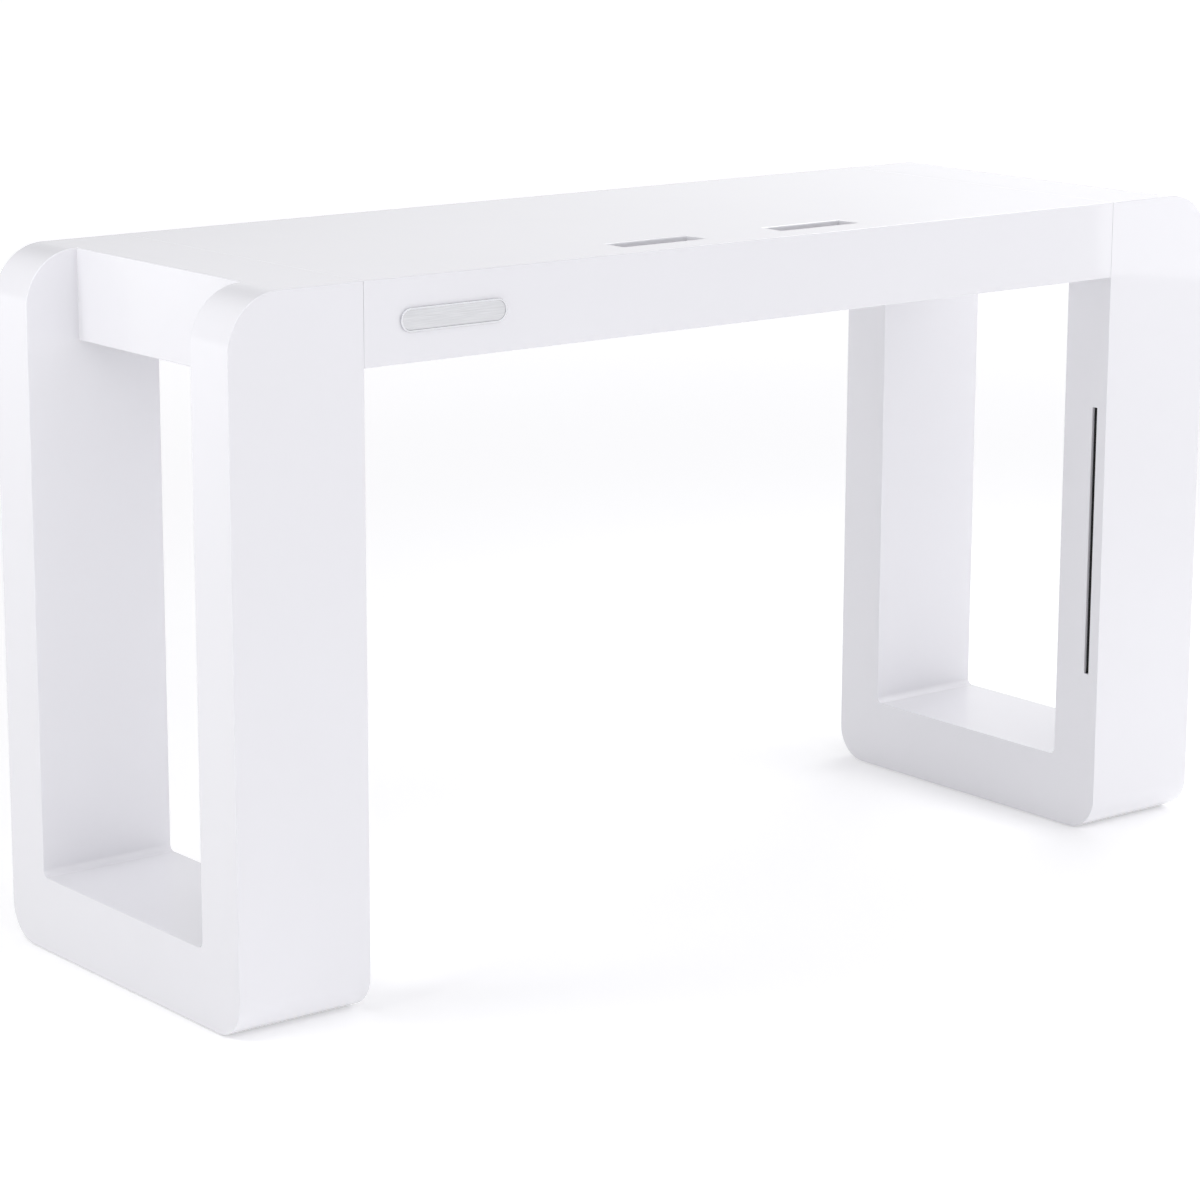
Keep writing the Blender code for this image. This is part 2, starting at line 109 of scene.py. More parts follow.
STANDING_X = Matrix(((0, 0, 1), (1, 0, 0), (0, 1, 0))).to_4x4()  # outline in YZ, thickness in X
STANDING_Y = Matrix(((1, 0, 0), (0, 0, 1), (0, 1, 0))).to_4x4()  # outline in XZ, thickness in Y
FLAT = Matrix.Identity(4)                                        # outline in XY, thickness in Z


# ---- material nodes -------------------------------------------------------------------------------
class Look:
    """A Principled material whose inputs are fed by short chains of texture nodes."""

    def __init__(self, name, colour, roughness, metallic=0.0):
        self.material = bpy.data.materials.new(name)
        self.material.use_nodes = True
        self.tree = self.material.node_tree
        self.shader = self.tree.nodes["Principled BSDF"]
        self.shader.inputs["Base Color"].default_value = (*colour, 1)
        self.shader.inputs["Roughness"].default_value = roughness
        self.shader.inputs["Metallic"].default_value = metallic
        self.place = self.tree.nodes.new("ShaderNodeTexCoord").outputs["Object"]

    def link(self, start, end):
        self.tree.links.new(start, end)

    def stretched(self, scale):
        mapping = self.tree.nodes.new("ShaderNodeMapping")
        mapping.inputs["Scale"].default_value = scale
        self.link(self.place, mapping.inputs["Vector"])
        return mapping.outputs["Vector"]

    def noise(self, scale, detail=3.0, stretch=(1, 1, 1), roughness=0.5):
        texture = self.tree.nodes.new("ShaderNodeTexNoise")
        texture.inputs["Scale"].default_value = scale
        texture.inputs["Detail"].default_value = detail
        texture.inputs["Roughness"].default_value = roughness
        self.link(self.stretched(stretch), texture.inputs["Vector"])
        return texture.outputs["Fac"]

    def ramp(self, value, stops):
        """Colours along a value, from (position, colour) stops."""
        node = self.tree.nodes.new("ShaderNodeValToRGB")
        elements = node.color_ramp.elements
        while len(elements) < len(stops):
            elements.new(0.5)
        for element, (position, colour) in zip(elements, stops):
            element.position = position
            element.color = (*colour, 1)
        self.link(value, node.inputs["Fac"])
        return node.outputs["Color"]

    def distance(self):
        """How far each point is from the origin, in metres."""
        node = self.tree.nodes.new("ShaderNodeVectorMath")
        node.operation = "LENGTH"
        self.link(self.place, node.inputs[0])
        return node.outputs["Value"]

    def between(self, value, low, high, start=0.0, end=1.0):
        """Values from low to high, as the given value goes from start to end."""
        node = self.tree.nodes.new("ShaderNodeMapRange")
        node.inputs["From Min"].default_value = start
        node.inputs["From Max"].default_value = end
        node.inputs["To Min"].default_value = low
        node.inputs["To Max"].default_value = high
        self.link(value, node.inputs["Value"])
        return node.outputs["Result"]

    def colour_from(self, value, stops):
        self.link(self.ramp(value, stops), self.shader.inputs["Base Color"])

    def roughness_from(self, value, low, high):
        self.link(self.between(value, low, high), self.shader.inputs["Roughness"])

    def bump_from(self, value, distance, strength=1.0):
        node = self.tree.nodes.new("ShaderNodeBump")
        node.inputs["Distance"].default_value = distance
        node.inputs["Strength"].default_value = strength
        self.link(value, node.inputs["Height"])
        self.link(node.outputs["Normal"], self.shader.inputs["Normal"])

    def set(self, **values):
        for name, value in values.items():
            self.shader.inputs[name.replace("_", " ")].default_value = value


def lacquer_look():
    """Polished white lacquer: an even cool white under a clear coat, with slight differences in polish.

    Where the roughness dips under about 0.28, denoised renders show specks, so it stays above that.
    """
    look = Look("white_lacquer", (0.80, 0.80, 0.82), 0.3)
    look.colour_from(look.noise(2.5, 2.0), [(0.3, (0.800, 0.797, 0.824)), (0.7, (0.812, 0.809, 0.838))])
    look.roughness_from(look.noise(14.0, 4.0), 0.285, 0.345)
    look.set(Coat_Weight=1.0, Coat_Roughness=0.04, Coat_IOR=1.5)
    return look.material


def fibreboard_look():
    look = Look("fibreboard", (0.52, 0.40, 0.27), 0.8)
    fibres = look.noise(900.0, 5.0, (1, 1, 0.35), 0.7)
    look.colour_from(fibres, [(0.3, (0.36, 0.26, 0.16)), (0.7, (0.58, 0.45, 0.30))])
    look.bump_from(fibres, 0.0002, 0.5)
    return look.material


def beech_look():
    look = Look("hardwood", (0.62, 0.45, 0.28), 0.55)
    grain = look.noise(60.0, 6.0, (0.12, 1, 1), 0.65)
    look.colour_from(grain, [
        (0.25, (0.46, 0.29, 0.15)), (0.55, (0.66, 0.46, 0.28)), (0.8, (0.74, 0.55, 0.36)),
    ])
    look.roughness_from(grain, 0.65, 0.45)
    look.bump_from(grain, 0.0002, 0.4)
    return look.material


def zinc_look():
    look = Look("zinc_steel", (0.66, 0.67, 0.69), 0.3, 1.0)
    cloud = look.noise(220.0, 4.0)
    look.colour_from(cloud, [(0.3, (0.56, 0.57, 0.60)), (0.7, (0.74, 0.74, 0.73))])
    look.roughness_from(cloud, 0.22, 0.42)
    return look.material


def badge_look():
    """Silver plate brushed along its length."""
    look = Look("badge_metal", (0.70, 0.70, 0.72), 0.3, 1.0)
    lines = look.noise(1800.0, 2.0, (0.02, 1, 1))
    look.colour_from(lines, [(0.3, (0.64, 0.645, 0.66)), (0.7, (0.76, 0.765, 0.78))])
    look.roughness_from(lines, 0.24, 0.40)
    look.bump_from(lines, 0.00005, 0.5)
    return look.material


def rim_look():
    look = Look("badge_rim", (0.78, 0.79, 0.81), 0.12, 1.0)
    look.roughness_from(look.noise(300.0, 3.0), 0.08, 0.18)
    return look.material


def rubber_look():
    look = Look("black_rubber", (0.010, 0.010, 0.012), 0.7)
    grain = look.noise(700.0, 3.0)
    look.colour_from(grain, [(0.3, (0.007, 0.007, 0.008)), (0.7, (0.015, 0.015, 0.017))])
    look.roughness_from(grain, 0.6, 0.8)
    look.set(Specular_IOR_Level=0.2)
    look.bump_from(grain, 0.0001, 0.4)
    return look.material


def pad_look():
    look = Look("pad_plastic", (0.03, 0.03, 0.03), 0.45)
    grain = look.noise(1200.0, 2.0)
    look.colour_from(grain, [(0.3, (0.022, 0.022, 0.023)), (0.7, (0.040, 0.040, 0.041))])
    look.roughness_from(grain, 0.38, 0.55)
    look.bump_from(grain, 0.0001, 0.5)
    return look.material


LOOKS = {
    "white_lacquer": lacquer_look(),
    "fibreboard": fibreboard_look(),
    "hardwood": beech_look(),
    "zinc_steel": zinc_look(),
    "badge_metal": badge_look(),
    "black_rubber": rubber_look(),
    "pad_plastic": pad_look(),
}
RIM = rim_look()


# ---- mesh tools -----------------------------------------------------------------------------------
def rounded(corners, steps=LARGE_ARC):
    """The points of an outline whose corners are (u, v, radius), each round one as an arc."""
    points = []
    count = len(corners)
    for index, (u, v, radius) in enumerate(corners):
        if not radius:
            points.append((u, v))
            continue
        arms = []
        for other in (corners[index - 1], corners[(index + 1) % count]):
            length = math.hypot(other[0] - u, other[1] - v)
            arms.append(((other[0] - u) / length, (other[1] - v) / length))
        (before_u, before_v), (after_u, after_v) = arms
        centre_u = u + radius * (before_u + after_u)
        centre_v = v + radius * (before_v + after_v)
        arc = steps if radius > OPENING_RADIUS + SKIN else SMALL_ARC
        for step in range(arc + 1):
            turn = step / arc * math.pi / 2
            points.append((
                centre_u - radius * (after_u * math.cos(turn) + before_u * math.sin(turn)),
                centre_v - radius * (after_v * math.cos(turn) + before_v * math.sin(turn)),
            ))
    return points


def new_object(name, shape):
    bmesh.ops.recalc_face_normals(shape, faces=shape.faces)
    mesh = bpy.data.meshes.new(name)
    shape.to_mesh(mesh)
    shape.free()
    obj = bpy.data.objects.new(name, mesh)
    bpy.context.scene.collection.objects.link(obj)
    return obj


def prism(name, outline, low, high, stand=FLAT):
    """A solid with this outline, between low and high along its thickness."""
    shape = bmesh.new()
    low_ring = [shape.verts.new((u, v, low)) for u, v in outline]
    high_ring = [shape.verts.new((u, v, high)) for u, v in outline]
    shape.faces.new(low_ring)
    shape.faces.new(high_ring)
    for index in range(len(outline)):
        after = (index + 1) % len(outline)
        shape.faces.new((low_ring[index], low_ring[after], high_ring[after], high_ring[index]))
    bmesh.ops.transform(shape, matrix=stand, verts=shape.verts)
    return new_object(name, shape)


def block(name, x, y, z):
    low, high = sorted(x)
    return prism(name, [(low, y[0]), (high, y[0]), (high, y[1]), (low, y[1])], z[0], z[1])


def turned(name, profile, centre, steps=ROUND_STEPS):
    """A shape turned about Z from (radius, height) points that start and end on the axis."""
    shape = bmesh.new()
    verts = [shape.verts.new((radius, 0, height)) for radius, height in profile]
    edges = [shape.edges.new(pair) for pair in zip(verts, verts[1:])]
    bmesh.ops.spin(shape, geom=verts + edges, axis=(0, 0, 1), cent=(0, 0, 0), angle=math.tau, steps=steps,
                   use_merge=True)
    bmesh.ops.remove_doubles(shape, verts=shape.verts, dist=1e-6)
    bmesh.ops.translate(shape, verts=shape.verts, vec=centre)
    return new_object(name, shape)


def evaluated_mesh(obj):
    graph = bpy.context.evaluated_depsgraph_get()
    return bpy.data.meshes.new_from_object(obj.evaluated_get(graph))


def cut(obj, cutter, operation="DIFFERENCE"):
    """Cuts obj with another object, which is used up."""
    modifier = obj.modifiers.new("cut", "BOOLEAN")
    modifier.operation = operation
    modifier.solver = "EXACT"
    modifier.object = cutter
    obj.data = evaluated_mesh(obj)
    obj.modifiers.clear()
    bpy.data.objects.remove(cutter)
    return obj


def faces_along(edge, axis, sign):
    return any(face.normal[axis] * sign > 0.9 for face in edge.link_faces)


def smooth_rounds(obj):
    """Shades round stretches smooth and keeps flat faces flat up to their edges."""
    obj.data.shade_smooth()
    obj.data.set_sharp_from_angle(angle=SHARP)
    normals = obj.modifiers.new("even shading", "WEIGHTED_NORMAL")
    normals.keep_sharp = True
    normals.weight = 100
    return obj


def finish_edges(obj, eased, width=EASE, segments=3):
    """Rounds each corner edge by the share of width that eased(edge, middle) gives it, from 0 to 1."""
    shape = bmesh.new()
    shape.from_mesh(obj.data)
    shape.normal_update()
    weight = shape.edges.layers.float.new("bevel_weight_edge")
    for edge in shape.edges:
        if len(edge.link_faces) == 2 and edge.calc_face_angle() > SHARP:
            edge[weight] = float(eased(edge, (edge.verts[0].co + edge.verts[1].co) / 2))
    shape.to_mesh(obj.data)
    shape.free()
    bevel = obj.modifiers.new("eased edges", "BEVEL")
    bevel.limit_method = "WEIGHT"
    bevel.width = width
    bevel.segments = segments
    bevel.loop_slide = False
    obj.data = evaluated_mesh(obj)
    obj.modifiers.clear()
    return smooth_rounds(obj)


def every_edge(edge, middle):
    return 1


def no_edge(edge, middle):
    return 0


def place(obj, slot, body="desk", stands_for=()):
    """Gives a piece its material, its body and the CAD nodes that it stands for."""
    obj.data.materials.clear()
    obj.data.materials.append(LOOKS[slot])
    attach(obj, body)
    for node in stands_for:
        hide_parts(node)
    return obj


# ---- legs -----------------------------------------------------------------------------------------
class Leg:
    """The lacquered boards of one leg; side is -1 for the left and +1 for the right."""

    def __init__(self, side):
        self.side = side
        self.word = "left" if side < 0 else "right"

    def across(self, near, far):
        return sorted((self.side * near, self.side * far))

    def board(self, piece, obj, eased, width=EASE):
        node = f"{self.word}_{piece}"
        obj.name = obj.data.name = f"{node}_lacquered"
        finish_edges(obj, eased, width)
        return place(obj, "white_lacquer", stands_for=[node])

    def outward(self, edge):
        return faces_along(edge, 0, self.side)

    def inward(self, edge):
        return faces_along(edge, 0, -self.side)

    def standing(self, outline, near, far):
        low, high = self.across(near, far)
        return prism("board", outline, low, high, STANDING_X)

    def build(self):
        self.outer_cheek()
        self.inner_frame()
        self.outer_wrap()
        self.opening_liner()
        self.post_caps()
        self.top_box()
        self.service_cover()

    def outer_cheek(self):
        outline = rounded([
            (FRONT, BASE, FOOT_RADIUS), (REAR, BASE, FOOT_RADIUS),
            (REAR, CAP_JOIN, 0), (OPENING_REAR, CAP_JOIN, 0),
            (OPENING_REAR, RAIL_TOP, OPENING_RADIUS), (OPENING_FRONT, RAIL_TOP, OPENING_RADIUS),
            (OPENING_FRONT, CAP_JOIN, 0), (FRONT, CAP_JOIN, 0),
        ])

        def eased(edge, middle):
            return self.outward(edge) and middle.z < CAP_JOIN - EASE

        self.board("outer_cheek", self.standing(outline, CHEEK_JOIN, OUTER), eased)

    def inner_frame(self):
        outline = rounded([
            (FRONT, BASE, FOOT_RADIUS), (REAR, BASE, FOOT_RADIUS),
            (REAR, BEAM_BOTTOM, 0), (REAR, CAP_JOIN, 0), (OPENING_REAR, CAP_JOIN, 0),
            (OPENING_REAR, TOP_JOIN, 0), (OPENING_FRONT, TOP_JOIN, 0),
            (OPENING_FRONT, CAP_JOIN, 0), (FRONT, CAP_JOIN, 0), (FRONT, BEAM_BOTTOM, 0),
        ])
        opening = rounded([
            (OPENING_FRONT, RAIL_TOP, OPENING_RADIUS), (OPENING_REAR, RAIL_TOP, OPENING_RADIUS),
            (OPENING_REAR, BOX_BOTTOM, 0), (OPENING_FRONT, BOX_BOTTOM, 0),
        ])
        board = self.standing(outline, INNER, FRAME_JOIN)
        cut(board, self.standing(opening, INNER - SKIN, FRAME_JOIN + SKIN))
        strip_low, strip_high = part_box(f"{self.word}_groove_strip")
        groove_floor = min(abs(strip_low.x), abs(strip_high.x)) + (strip_high.x - strip_low.x) + GAP
        groove = block("groove", self.across(INNER - SKIN, groove_floor),
                       (strip_low.y - GAP, strip_high.y + GAP), (strip_low.z - GAP, strip_high.z + GAP))
        cut(board, groove)

        def eased(edge, middle):
            in_groove = strip_low.y - SKIN < middle.y < strip_high.y + SKIN and abs(middle.y - FRONT) > SKIN
            beside_beam = middle.z > BEAM_BOTTOM and abs(middle.z - BOX_BOTTOM) > EASE
            if not self.inward(edge) or middle.z > CAP_JOIN - EASE:
                return 0
            return FINE if in_groove or beside_beam else 1

        self.board("inner_frame", board, eased)

    def outer_wrap(self):
        inside = FOOT_RADIUS - SKIN
        outline = rounded([
            (FRONT, BASE, FOOT_RADIUS), (REAR, BASE, FOOT_RADIUS),
            (REAR, CAP_JOIN, 0), (REAR - SKIN, CAP_JOIN, 0),
            (REAR - SKIN, BASE + SKIN, inside), (FRONT + SKIN, BASE + SKIN, inside),
            (FRONT + SKIN, CAP_JOIN, 0), (FRONT, CAP_JOIN, 0),
        ])
        board = self.standing(outline, FRAME_JOIN, CHEEK_JOIN)
        for word in ("front", "rear"):
            low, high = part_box(f"{self.word}_{word}_levelling_foot")
            insert_low, insert_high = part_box(f"{self.word}_{word}_foot_insert")
            passage = (insert_high.x - insert_low.x) / 2 + 2 * GAP
            pad = (high.x - low.x) / 2 + PAD_RECESS_MARGIN
            top = BASE + PAD_RECESS_DEPTH
            hole = turned("hole", [
                (0, BASE - SKIN), (pad, BASE - SKIN), (pad, top), (passage, top), (passage, BASE + 2 * SKIN),
                (0, BASE + 2 * SKIN),
            ], ((low.x + high.x) / 2, (low.y + high.y) / 2, 0))
            cut(board, hole)

        def eased(edge, middle):
            within_board = FRAME_JOIN + EASE < abs(middle.x) < CHEEK_JOIN - EASE
            within_flat = FRONT + FOOT_RADIUS < middle.y < REAR - FOOT_RADIUS
            return middle.z < BASE + EASE / 2 and within_board and within_flat

        self.board("outer_wrap", board, eased, FINE_EASE)

    def opening_liner(self):
        outside = OPENING_RADIUS + SKIN
        front, rear, bottom = OPENING_FRONT - SKIN, OPENING_REAR + SKIN, RAIL_TOP - SKIN
        outline = rounded([
            (front, bottom, outside), (rear, bottom, outside),
            (rear, CAP_JOIN, 0), (OPENING_REAR, CAP_JOIN, 0),
            (OPENING_REAR, RAIL_TOP, OPENING_RADIUS), (OPENING_FRONT, RAIL_TOP, OPENING_RADIUS),
            (OPENING_FRONT, CAP_JOIN, 0), (front, CAP_JOIN, 0),
        ])
        self.board("opening_liner", self.standing(outline, FRAME_JOIN, CHEEK_JOIN), no_edge)

    def post_caps(self):
        """Each cap is eased all round outside the end panel; inside it, it meets the top panel."""
        side = self.side
        inside = [
            (side * INNER, CAP_JOIN), (side * INNER, HEIGHT),
            (side * PANEL_FACE, HEIGHT), (side * PANEL_FACE, CAP_JOIN),
        ]
        outside = rounded([
            (side * PANEL_FACE, CAP_JOIN, 0), (side * PANEL_FACE, HEIGHT, 0),
            (side * OUTER, HEIGHT, TOP_RADIUS), (side * OUTER, CAP_JOIN, 0),
        ])
        for word, low, high, away in (("front", FRONT, OPENING_FRONT, -1), ("rear", OPENING_REAR, REAR, 1)):

            def inside_eased(edge, middle, away=away):
                jointed = middle.z < CAP_JOIN + EASE / 2 or self.outward(edge) or faces_along(edge, 1, -away)
                return 0 if jointed else FINE if self.inward(edge) else 1

            def outside_eased(edge, middle):
                return middle.z > CAP_JOIN + EASE / 2 and not self.inward(edge)

            cap = prism("cap", outside, low, high, STANDING_Y)
            finish_edges(cap, outside_eased)
            inner_part = prism("cap", inside, low, high, STANDING_Y)
            finish_edges(inner_part, inside_eased)
            cut(cap, inner_part, "UNION")
            self.board(f"{word}_post_cap", cap, no_edge)

    def top_box(self):
        between = (OPENING_FRONT, OPENING_REAR)

        def top_eased(edge, middle):
            if not faces_along(edge, 2, 1) or faces_along(edge, 1, 1) or faces_along(edge, 1, -1):
                return 0
            return FINE if self.inward(edge) else 1

        top = block("top", self.across(INNER, PANEL_FACE), between, (TOP_JOIN, HEIGHT))
        self.board("top_panel", top, top_eased)

        def end_eased(edge, middle):
            return faces_along(edge, 2, -1) and (self.inward(edge) or self.outward(edge))

        end = block("end", self.across(PANEL_LOW.x, PANEL_FACE), between, (BOX_BOTTOM, TOP_JOIN))
        self.board("end_panel", end, end_eased)

    def service_cover(self):
        low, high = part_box(f"{self.word}_service_cover")
        cover = block("cover", (low.x, high.x), (low.y, high.y), (low.z, high.z))
        for word in ("front", "rear"):
            screw_low, screw_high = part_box(f"{self.word}_{word}_cover_screw")
            centre = (screw_low + screw_high) / 2
            radius = (screw_high.x - screw_low.x) / 2 + GAP
            below, above = low.z - SKIN, high.z + SKIN
            profile = [(0, below), (radius, below), (radius, above), (0, above)]
            cut(cover, turned("hole", profile, (centre.x, centre.y, 0)))
            self.cover_screw(word, centre.x, centre.y, screw_low.z, screw_high.z)
        self.board("service_cover", cover, lambda edge, middle: faces_along(edge, 2, -1), FINE_EASE)

    def cover_screw(self, word, x, y, low, high):
        """A pan-head screw with a cross recess in its head."""
        node = f"{self.word}_{word}_cover_screw"
        head, head_height, head_edge = 0.004, 0.0022, 0.0005
        shank, root, pitch = 0.0019, 0.0019 * 0.72, 0.0014
        plain, tip = 0.001, 0.002
        recess_reach, recess_half, recess_depth, clear = 0.0022, 0.0005, 0.0013, 0.0001
        under_head = low + head_height
        profile = [
            (0, low), (head * 0.8, low), (head, low + head_edge), (head, under_head), (shank, under_head),
        ]
        turns = int((high - under_head - 2 * tip) / pitch)
        for turn in range(turns):
            z = under_head + plain + turn * pitch
            profile += [(root, z), (shank, z + pitch / 2)]
        profile += [(shank * 0.6, high - tip), (0, high)]
        screw = turned(f"{node}_threaded", profile, (x, y, 0), SCREW_STEPS)
        for angle in (0, math.pi / 2):
            length, thickness = (-recess_reach, recess_reach), (-recess_half, recess_half)
            bar = block("bar", length, thickness, (-clear, recess_depth))
            bar.data.transform(Matrix.Translation((x, y, low)) @ Matrix.Rotation(angle, 4, "Z"))
            cut(screw, bar)
        finish_edges(screw, no_edge)
        place(screw, "zinc_steel", stands_for=[node])


# ---- beam -----------------------------------------------------------------------------------------
def beam_board(node, x, y, z, eased, slots=(), width=EASE):
    board = block(node, x, y, z)
    for slot in slots:
        cut(board, block("slot", *slot))
    board.name = board.data.name = f"{node}_lacquered"
    finish_edges(board, eased, width)
    return place(board, "white_lacquer", stands_for=[node])


def slot_boxes():
    """The two cable slots, from the openings that the record states."""
    found = []
    for opening in frame["record"]["physics"]["openings"]:
        if opening["name"].endswith("cable_slot"):
            low, high = opening["box_m"]
            found.append(((low[0] - SLOT_MARGIN, high[0] + SLOT_MARGIN),
                          (low[1] - SLOT_MARGIN, high[1] + SLOT_MARGIN), (low[2], high[2])))
    return found


def build_beam():
    low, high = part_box("beam_top_panel")
    front_low, front_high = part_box("beam_front_apron")
    rear_low, rear_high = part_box("beam_rear_apron")
    bottom_low, bottom_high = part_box("beam_bottom_panel")
    ends = (low.x, high.x)
    join = low.z - GAP / 2
    slots = slot_boxes()

    def top_eased(edge, middle):
        if middle.z < join + EASE / 2:
            return 0
        if abs(middle.x) > high.x - EASE:
            return FINE_EASE / SLOT_EASE
        if not faces_along(edge, 2, 1):
            return 0
        return 1 if low.y + SKIN < middle.y < high.y - SKIN else EASE / SLOT_EASE

    beam_board("beam_top_panel", ends, (low.y, high.y), (join, high.z), top_eased, slots, SLOT_EASE)
    for node, apron_low, apron_high, outside in (
        ("beam_front_apron", front_low, front_high, -1), ("beam_rear_apron", rear_low, rear_high, 1),
    ):

        def apron_eased(edge, middle, outside=outside):
            at_end = faces_along(edge, 0, 1) or faces_along(edge, 0, -1)
            if faces_along(edge, 2, 1):
                return 0
            if at_end:
                return FINE if faces_along(edge, 1, outside) or faces_along(edge, 2, -1) else 0
            return faces_along(edge, 2, -1)

        beam_board(node, ends, (apron_low.y, apron_high.y), (apron_low.z, join), apron_eased)

    def bottom_eased(edge, middle):
        return faces_along(edge, 2, -1) and low.y + SKIN * 2 < middle.y < high.y - SKIN * 2

    depth, thickness = (bottom_low.y - GAP, bottom_high.y + GAP), (bottom_low.z, bottom_high.z)
    beam_board("beam_bottom_panel", ends, depth, thickness, bottom_eased, slots, FINE_EASE)


# ---- trim and hardware ----------------------------------------------------------------------------
def build_badge():
    """A plain plate with round ends: a brushed field inside a raised polished rim."""
    low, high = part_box("badge_plate")
    radius = (high.z - low.z) / 2 - HAIR

    def stadium(inset):
        size = radius - inset
        return rounded([
            (low.x + inset, low.z + inset, size), (high.x - inset, low.z + inset, size),
            (high.x - inset, high.z - inset, size), (low.x + inset, high.z - inset, size),
        ])

    back = high.y
    rim = prism("badge_rim", stadium(0), low.y, back, STANDING_Y)
    cut(rim, prism("middle", stadium(BADGE_RIM), low.y - SKIN, back + SKIN, STANDING_Y))
    finish_edges(rim, every_edge, FINE_EASE)
    field = prism("badge_field", stadium(BADGE_RIM + GAP / 6), low.y + BADGE_FIELD_DEPTH, back, STANDING_Y)
    finish_edges(field, lambda edge, middle: faces_along(edge, 1, -1), GAP)
    place(field, "badge_metal", stands_for=["badge_plate"])
    place(rim, "badge_metal", stands_for=["badge_plate"])
    rim.data.materials[0] = RIM


def build_strip(side, word):
    """A soft strip with two lips that meet in a fine slit."""
    node = f"{word}_groove_strip"
    low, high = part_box(node)
    face, back = (low.x, high.x) if side > 0 else (high.x, low.x)
    inward = math.copysign(1.0, back - face)
    middle = (low.y + high.y) / 2
    slit, lip = 0.0003, 0.0006
    outline = [
        (back, low.y), (face + inward * lip, low.y), (face, low.y + lip), (face, middle - 2 * lip),
        (face + inward * lip, middle - slit), (face + inward * 4 * lip, middle),
        (face + inward * lip, middle + slit), (face, middle + 2 * lip), (face, high.y - lip),
        (face + inward * lip, high.y), (back, high.y),
    ]
    strip = prism(f"{node}_lipped", outline, low.z, high.z)
    finish_edges(strip, every_edge, STRIP_EASE, 2)
    place(strip, "black_rubber", stands_for=[node])


def build_foot(word):
    """A moulded pad with a spanner collar, on a threaded steel stud."""
    node = f"{word}_levelling_foot"
    body = f"{word}_foot"
    low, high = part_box(node)
    centre = ((low.x + high.x) / 2, (low.y + high.y) / 2, 0)
    radius = (high.x - low.x) / 2
    pad_top, collar_top = low.z + 0.0030, low.z + 0.0040
    round_out, round_in = 0.0012, 0.0004
    collar, stud, root, pitch = 0.0065, 0.004, 0.004 * 0.84, 0.00125
    pad = turned(f"{node}_pad", [
        (0, low.z), (radius - round_out, low.z), (radius - round_in, low.z + round_in),
        (radius, low.z + round_out), (radius, pad_top - 0.0010), (radius - round_in, pad_top - 0.0003),
        (radius - round_out, pad_top), (collar, pad_top), (collar, collar_top), (0, collar_top),
    ], centre)
    finish_edges(pad, no_edge)
    place(pad, "pad_plastic", body, [node])
    profile = [(0, collar_top), (stud * 0.82, collar_top)]
    end_length, end_chamfer = 0.0015, 0.0006
    turns = int((high.z - collar_top - end_length) / pitch)
    for turn in range(turns):
        z = collar_top + turn * pitch
        profile += [(root, z + pitch * 0.1), (stud, z + pitch * 0.45)]
        profile += [(stud, z + pitch * 0.6), (root, z + pitch * 0.95)]
    profile += [(stud * 0.8, high.z - end_chamfer), (stud * 0.6, high.z), (0, high.z)]
    screw = turned(f"{node}_stud", profile, centre, STUD_STEPS)
    finish_edges(screw, no_edge)
    place(screw, "zinc_steel", body, [node])


def dress_cad_nodes():
    """The CAD nodes that stay: inner boards, blocks and fasteners."""
    slots = {part["node"]: part["material_slot"] for part in frame["record"]["subparts"]}
    for node, obj in frame["nodes"].items():
        slot = slots[node]
        obj.data.materials.clear()
        obj.data.materials.append(LOOKS[slot])
        if slot not in CAD_EASES:
            continue
        bevel = obj.modifiers.new("eased edges", "BEVEL")
        bevel.limit_method = "ANGLE"
        bevel.angle_limit = CAD_SHARP
        bevel.width = CAD_EASES[slot]
        bevel.segments = 2
        normals = obj.modifiers.new("even shading", "WEIGHTED_NORMAL")
        normals.keep_sharp = True


# ---- studio ---------------------------------------------------------------------------------------
def build_camera():
    data = bpy.data.cameras.new("camera")
    data.lens = 113.06
    data.sensor_width = 36
    data.clip_end = 200
    camera = bpy.data.objects.new("camera", data)
    bpy.context.scene.collection.objects.link(camera)
    azimuth, down, roll = (math.radians(angle) for angle in (38.567, 12.993, 0.2))
    camera.location = (-3.1336, -3.8555, 1.5272)
    level = math.cos(down)
    forward = Vector((math.sin(azimuth) * level, math.cos(azimuth) * level, -math.sin(down)))
    camera.rotation_mode = "QUATERNION"
    camera.rotation_quaternion = forward.to_track_quat("-Z", "Y") @ Quaternion((0, 0, 1), roll)
    bpy.context.scene.camera = camera


def toward(azimuth, elevation):
    """The direction from the object towards a place; azimuth 0 is the front, 90 the right end."""
    azimuth, elevation = math.radians(azimuth), math.radians(elevation)
    level = math.cos(elevation)
    return Vector((math.sin(azimuth) * level, -math.cos(azimuth) * level, math.sin(elevation)))


def softbox(name, location, aim, size, power):
    """A rectangular light of this size in metres, turned to face its aim."""
    data = bpy.data.lights.new(name, "AREA")
    data.shape = "RECTANGLE"
    data.size, data.size_y = size
    data.energy = power
    light = bpy.data.objects.new(name, data)
    bpy.context.scene.collection.objects.link(light)
    light.location = location
    light.rotation_mode = "QUATERNION"
    light.rotation_quaternion = (Vector(aim) - light.location).to_track_quat("-Z", "Y")


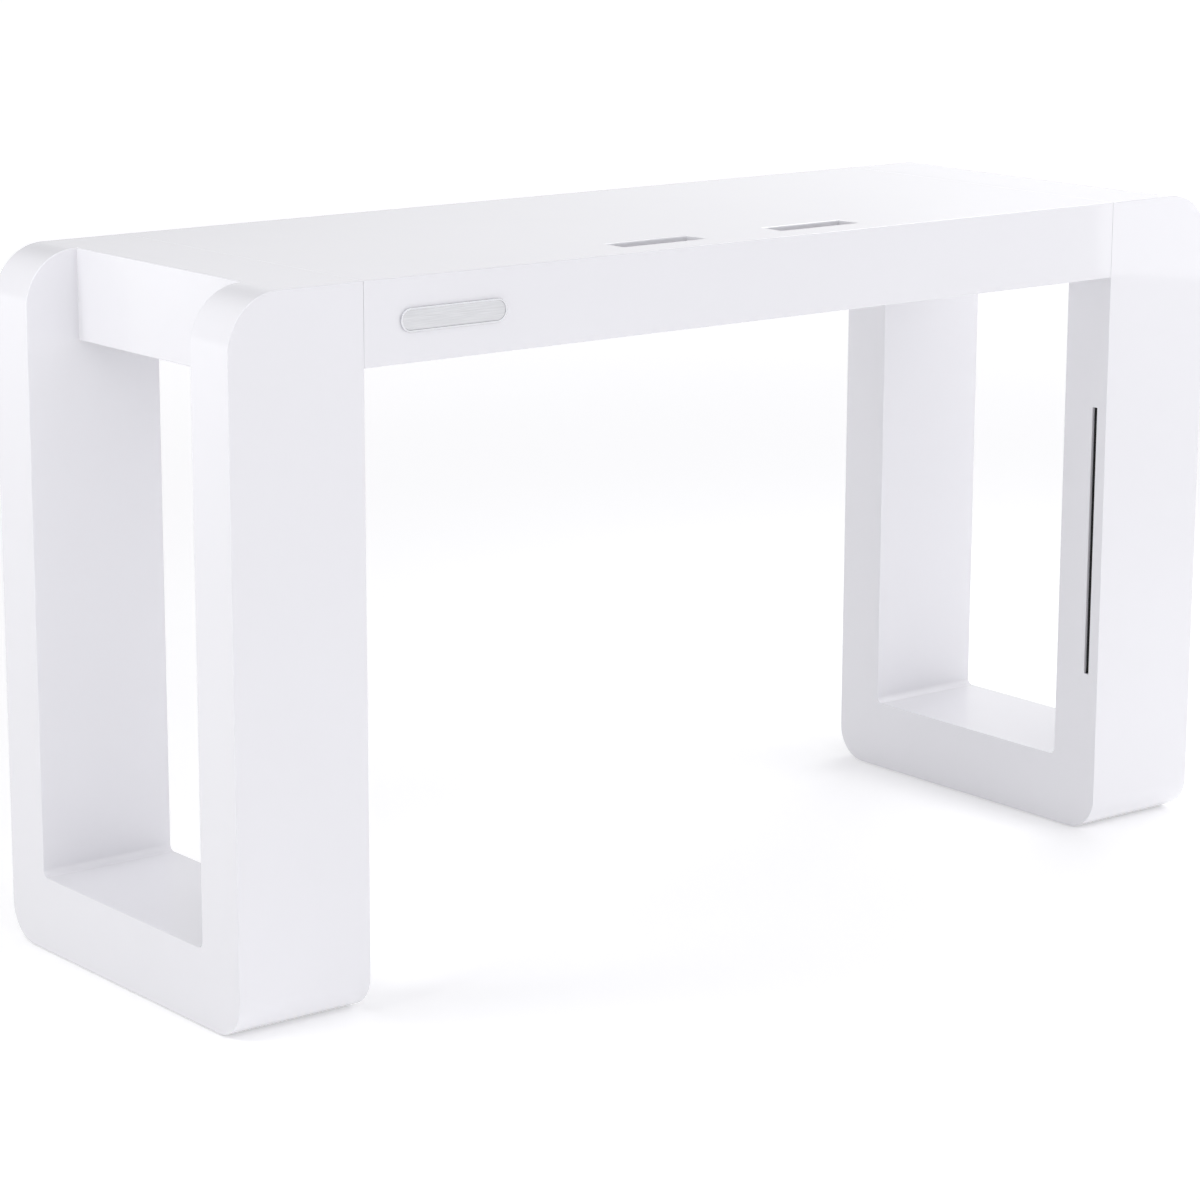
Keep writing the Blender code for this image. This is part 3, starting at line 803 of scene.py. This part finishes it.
class Surround:
    """The studio's walls and ceiling: a pale grey world with brighter areas that fade at their edges."""

    def __init__(self, level):
        world = bpy.data.worlds.new("studio")
        world.use_nodes = True
        bpy.context.scene.world = world
        self.tree = world.node_tree
        self.direction = self.tree.nodes.new("ShaderNodeTexCoord").outputs["Generated"]
        self.background = self.tree.nodes["Background"]
        self.background.inputs["Color"].default_value = (0.975, 0.972, 1, 1)
        self.level = self.tree.nodes.new("ShaderNodeValue").outputs["Value"]
        self.level.default_value = level

    def add(self, value, start, end, strength):
        """Adds light that grows smoothly from none at start to its full strength at end."""
        fade = self.tree.nodes.new("ShaderNodeMapRange")
        fade.interpolation_type = "SMOOTHSTEP"
        fade.inputs["From Min"].default_value = start
        fade.inputs["From Max"].default_value = end
        fade.inputs["To Max"].default_value = strength
        total = self.tree.nodes.new("ShaderNodeMath")
        self.tree.links.new(value, fade.inputs["Value"])
        self.tree.links.new(fade.outputs["Result"], total.inputs[0])
        self.tree.links.new(self.level, total.inputs[1])
        self.level = total.outputs["Value"]

    def add_area(self, azimuth, elevation, reach, strength):
        """Adds a bright area towards this direction, which fades out at its reach."""
        facing = self.tree.nodes.new("ShaderNodeVectorMath")
        facing.operation = "DOT_PRODUCT"
        facing.inputs[1].default_value = toward(azimuth, elevation)
        self.tree.links.new(self.direction, facing.inputs[0])
        self.add(facing.outputs["Value"], math.cos(math.radians(reach)), 1.0, strength)

    def add_horizon(self, top, strength):
        """Adds a bright band from the horizon up to a direction's height of top."""
        split = self.tree.nodes.new("ShaderNodeSeparateXYZ")
        self.tree.links.new(self.direction, split.inputs[0])
        self.add(split.outputs["Z"], top, 0.01, strength)

    def finish(self):
        self.tree.links.new(self.level, self.background.inputs["Strength"])


def build_studio():
    """The surround's areas have an azimuth, elevation and reach in degrees; the softboxes are in watts."""
    surround = Surround(0.30)
    surround.add_horizon(0.11, 0.54)
    surround.add_area(0, 90, 70, 0.19)
    surround.add_area(5, 30, 50, 1.14)
    surround.add_area(-140, 25, 50, 0.24)
    surround.add_area(122, 8, 45, 0.68)
    surround.finish()
    softbox("left_above", (-2.0, 0, 1.9), (-0.8, 0, 0.85), (1.2, 1.0), 15.5)
    softbox("right", (2.2, -0.9, 1.1), (0.8, 0, 0.5), (1.4, 1.2), 4.6)
    softbox("right_above", (1.5, 0.3, 1.9), (0.7, 0, 0.9), (1.4, 1.2), 14)
    floor = bpy.data.meshes.new("floor")
    shape = bmesh.new()
    bmesh.ops.create_grid(shape, x_segments=1, y_segments=1, size=40)
    shape.to_mesh(floor)
    shape.free()
    floor = bpy.data.objects.new("floor", floor)
    bpy.context.scene.collection.objects.link(floor)
    look = Look("pale_floor", (0.96, 0.96, 0.96), 0.6)
    look.colour_from(look.noise(0.7, 2.0), [(0.3, (0.955, 0.955, 0.955)), (0.7, (0.965, 0.965, 0.965))])
    # The floor glows more with the distance from the desk, so it fades to white.
    look.set(Emission_Color=(1, 1, 1, 1))
    look.link(look.between(look.distance(), 0.19, 0.40, 1.2, 5), look.shader.inputs["Emission Strength"])
    floor.data.materials.append(look.material)


def main():
    build_camera()
    dress_cad_nodes()
    for side in (-1, 1):
        Leg(side).build()
        build_strip(side, "left" if side < 0 else "right")
    build_beam()
    build_badge()
    for word in ("left_front", "left_rear", "right_front", "right_rear"):
        build_foot(word)
    build_studio()
    bpy.context.scene.view_settings.view_transform = "Standard"


main()
